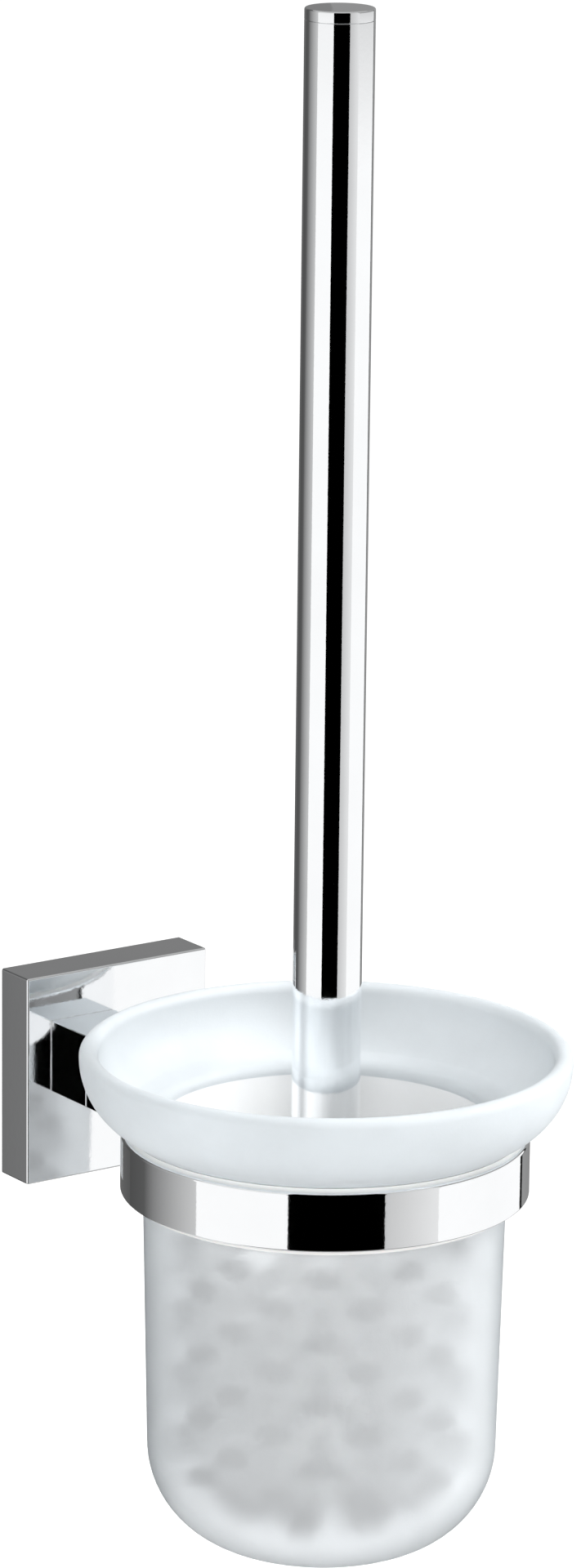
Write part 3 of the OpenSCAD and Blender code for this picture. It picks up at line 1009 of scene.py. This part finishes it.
def glow(name, start, end, above):
    """A card's light, which changes from its first edge to its last and above the horizon."""
    material = bpy.data.materials.new(name)
    material.use_nodes = True
    tree = material.node_tree
    tree.nodes.clear()
    place = add(tree, "ShaderNodeTexCoord")
    turn = add(tree, "ShaderNodeTexGradient", gradient_type="RADIAL")
    level = add(tree, "ShaderNodeMapRange", {"To Min": start[1], "To Max": end[1]})
    level.inputs["From Min"].default_value = start[0]
    level.inputs["From Max"].default_value = end[0]
    axes = add(tree, "ShaderNodeSeparateXYZ")
    height = add(tree, "ShaderNodeMapRange", {"From Min": 0.09, "From Max": 0.22, "To Min": 1.0, "To Max": above})
    product = add(tree, "ShaderNodeMath", operation="MULTIPLY")
    light = add(tree, "ShaderNodeEmission")
    out = add(tree, "ShaderNodeOutputMaterial")
    wire(
        tree,
        (place, "Object", turn, "Vector"), (turn, 1, level, "Value"), (place, "Object", axes, 0),
        (axes, 2, height, "Value"), (level, 0, product, 0), (height, 0, product, 1),
        (product, 0, light, "Strength"), (light, 0, out, "Surface"),
    )
    return material


def card(stage, name, start, end, first, last, above):
    """A bowed card that only mirrors see, on a circle round the ring's axis."""
    deselect()
    toward = math.radians(stage.azimuth - 90)
    bpy.ops.mesh.primitive_plane_add(size=MM, location=(0.0, 0.0, 0.0))
    obj = bpy.context.object
    bpy.ops.object.mode_set(mode="EDIT")
    bpy.ops.mesh.select_all(action="SELECT")
    bpy.ops.mesh.merge(type="CENTER")
    bpy.ops.transform.translate(value=(stage.tent_radius, 0.0, TENT_LOW))
    bpy.ops.mesh.extrude_region_move(TRANSFORM_OT_translate={"value": (0.0, 0.0, TENT_HIGH - TENT_LOW)})
    bpy.ops.mesh.select_all(action="SELECT")
    span = math.radians(end - start)
    bpy.ops.mesh.spin(steps=24, angle=span, center=(0.0, 0.0, 0.0), axis=(0.0, 0.0, 1.0))
    bpy.ops.object.mode_set(mode="OBJECT")
    if max(math.atan2(v.co.y, v.co.x) for v in obj.data.vertices) < span / 2:
        obj.scale.y = -1.0  # spin turned it the other way
    bpy.ops.object.transform_apply(location=False, rotation=False, scale=True)
    obj.name = "card_" + name
    obj.location = AXIS
    obj.rotation_euler.z = toward + math.radians(start)
    obj.data.materials.append(glow("glow_" + name, (0.5, first), (0.5 + (end - start) / 360, last), above))
    return for_mirrors(obj)


def level_card(stage, name, height, first, last):
    """A level card that closes the tent, for the mirrors that are looked at from above."""
    deselect()
    bpy.ops.mesh.primitive_plane_add(size=2 * stage.tent_radius, location=(AXIS.x, AXIS.y, height))
    obj = bpy.context.object
    obj.name = "card_" + name
    obj.data.materials.append(glow("glow_" + name, (0.0, first), (1.0, last), 1.0))
    return for_mirrors(obj)


def for_mirrors(obj):
    """Makes a piece of the stage that only mirrors see."""
    obj.visible_camera = False
    obj.visible_diffuse = False
    obj.visible_transmission = False
    obj.visible_shadow = False
    return obj


def floor(stage):
    """A wide pale floor under the object."""
    deselect()
    bpy.ops.mesh.primitive_plane_add(size=40.0, location=(0.0, 0.0, GLASS_LOW.z - stage.floor_drop))
    obj = bpy.context.object
    material, tree, shader = new_finish(
        "pale_floor", Roughness=0.9, Specular_IOR_Level=0.1, Emission_Color=(1.0, 1.0, 1.0, 1.0),
        Emission_Strength=0.12,
    )
    drift = group_node(tree, "drift", Colour=(0.93, 0.93, 0.93, 1.0), Dark=0.985, Scale=3.0)
    wire(tree, (drift, "Colour", shader, "Base Color"))
    obj.name = "floor"
    obj.data.materials.append(material)
    return obj


def softbox(name, place, size, power, aim):
    """A square area light that points at a place."""
    deselect()
    bpy.ops.object.light_add(type="AREA", location=place)
    lamp = bpy.context.object
    lamp.name = name
    lamp.data.shape = "RECTANGLE"
    lamp.data.size, lamp.data.size_y = size
    lamp.data.energy = power
    lamp.visible_glossy = False
    lamp.rotation_mode = "QUATERNION"
    lamp.rotation_quaternion = (Vector(aim) - Vector(place)).to_track_quat("-Z", "Y")
    return lamp


def camera(stage):
    """The camera, turned round the point that it looks at."""
    azimuth, elevation = math.radians(stage.azimuth), math.radians(stage.elevation)
    back = Vector((
        math.sin(azimuth) * math.cos(elevation), -math.cos(azimuth) * math.cos(elevation), math.sin(elevation)
    ))
    deselect()
    bpy.ops.object.camera_add(location=Vector(stage.aim) + back * stage.distance)
    eye = bpy.context.object
    eye.name = "camera"
    eye.rotation_mode = "QUATERNION"
    level = (-back).to_track_quat("-Z", "Y")
    lean = Matrix.Rotation(math.radians(stage.roll), 3, back).to_quaternion()
    eye.rotation_quaternion = lean @ level
    eye.data.lens = stage.lens
    eye.data.clip_start, eye.data.clip_end = 0.05, 60.0
    bpy.context.scene.camera = eye
    return eye


class HOLDER_OT_stage(PieceOperator, bpy.types.Operator):
    """Sets the floor, the cards, the lights and the camera"""

    bl_idname = "holder.stage"
    bl_label = "Stage"

    def execute(self, context):
        stage = self.settings("holder_stage")
        floor(stage)
        for row in CARDS:
            card(stage, *row)
        level_card(stage, "ceiling", TENT_HIGH, 0.5, 0.5)
        level_card(stage, "ground", GLASS_LOW.z - stage.floor_drop + 5 * MM, 0.08, 0.9)
        middle = (AXIS.x, AXIS.y, 0.05)
        softbox("front_light", (-0.95, -1.35, 0.85), (0.5, 0.5), 7.0, middle)
        softbox("side_light", (1.25, -0.7, 1.1), (0.7, 0.7), 34.0, middle)
        softbox("top_light", (0.2, 0.2, 1.6), (1.2, 1.2), 5.0, middle)
        world = bpy.data.worlds.new("studio_air")
        world.use_nodes = True
        world.node_tree.nodes["Background"].inputs["Color"].default_value = (1.0, 1.0, 1.0, 1.0)
        world.node_tree.nodes["Background"].inputs["Strength"].default_value = 1.0
        context.scene.world = world
        context.scene.view_settings.view_transform = "Standard"
        camera(stage)
        return {"FINISHED"}


# ------
# Add-on
# ------

OPERATORS = (
    HOLDER_OT_hardware,
    HOLDER_OT_rosette,
    HOLDER_OT_arm,
    HOLDER_OT_ring,
    HOLDER_OT_handle,
    HOLDER_OT_plastics,
    HOLDER_OT_glass,
    HOLDER_OT_bristles,
    HOLDER_OT_stage,
)


class HOLDER_PT_panel(bpy.types.Panel):
    """Lists the pieces in the 3D view's sidebar"""

    bl_label = "Brush Holder"
    bl_idname = "HOLDER_PT_panel"
    bl_space_type = "VIEW_3D"
    bl_region_type = "UI"
    bl_category = "Brush Holder"

    def draw(self, context):
        for name, group in SETTINGS.items():
            column = self.layout.column(align=True)
            settings = getattr(context.scene, name)
            for label in group.__annotations__:
                column.prop(settings, label)
        for operator in OPERATORS:
            self.layout.operator(operator.bl_idname)


def register():
    """Registers the classes and hangs the settings on the scene."""
    for group in SETTINGS.values():
        bpy.utils.register_class(group)
    for operator in OPERATORS:
        bpy.utils.register_class(operator)
    bpy.utils.register_class(HOLDER_PT_panel)
    for name, group in SETTINGS.items():
        setattr(bpy.types.Scene, name, bpy.props.PointerProperty(type=group))


def unregister():
    """Takes the settings and the classes away again."""
    for name in SETTINGS:
        delattr(bpy.types.Scene, name)
    bpy.utils.unregister_class(HOLDER_PT_panel)
    for operator in reversed(OPERATORS):
        bpy.utils.unregister_class(operator)
    for group in SETTINGS.values():
        bpy.utils.unregister_class(group)


def main():
    """Builds every piece and the stage, in order."""
    register()
    bpy.ops.holder.hardware()
    bpy.ops.holder.rosette()
    bpy.ops.holder.arm()
    bpy.ops.holder.ring()
    bpy.ops.holder.handle()
    bpy.ops.holder.plastics()
    bpy.ops.holder.glass()
    bpy.ops.holder.bristles()
    bpy.ops.holder.stage()


if __name__ == "__main__":
    main()
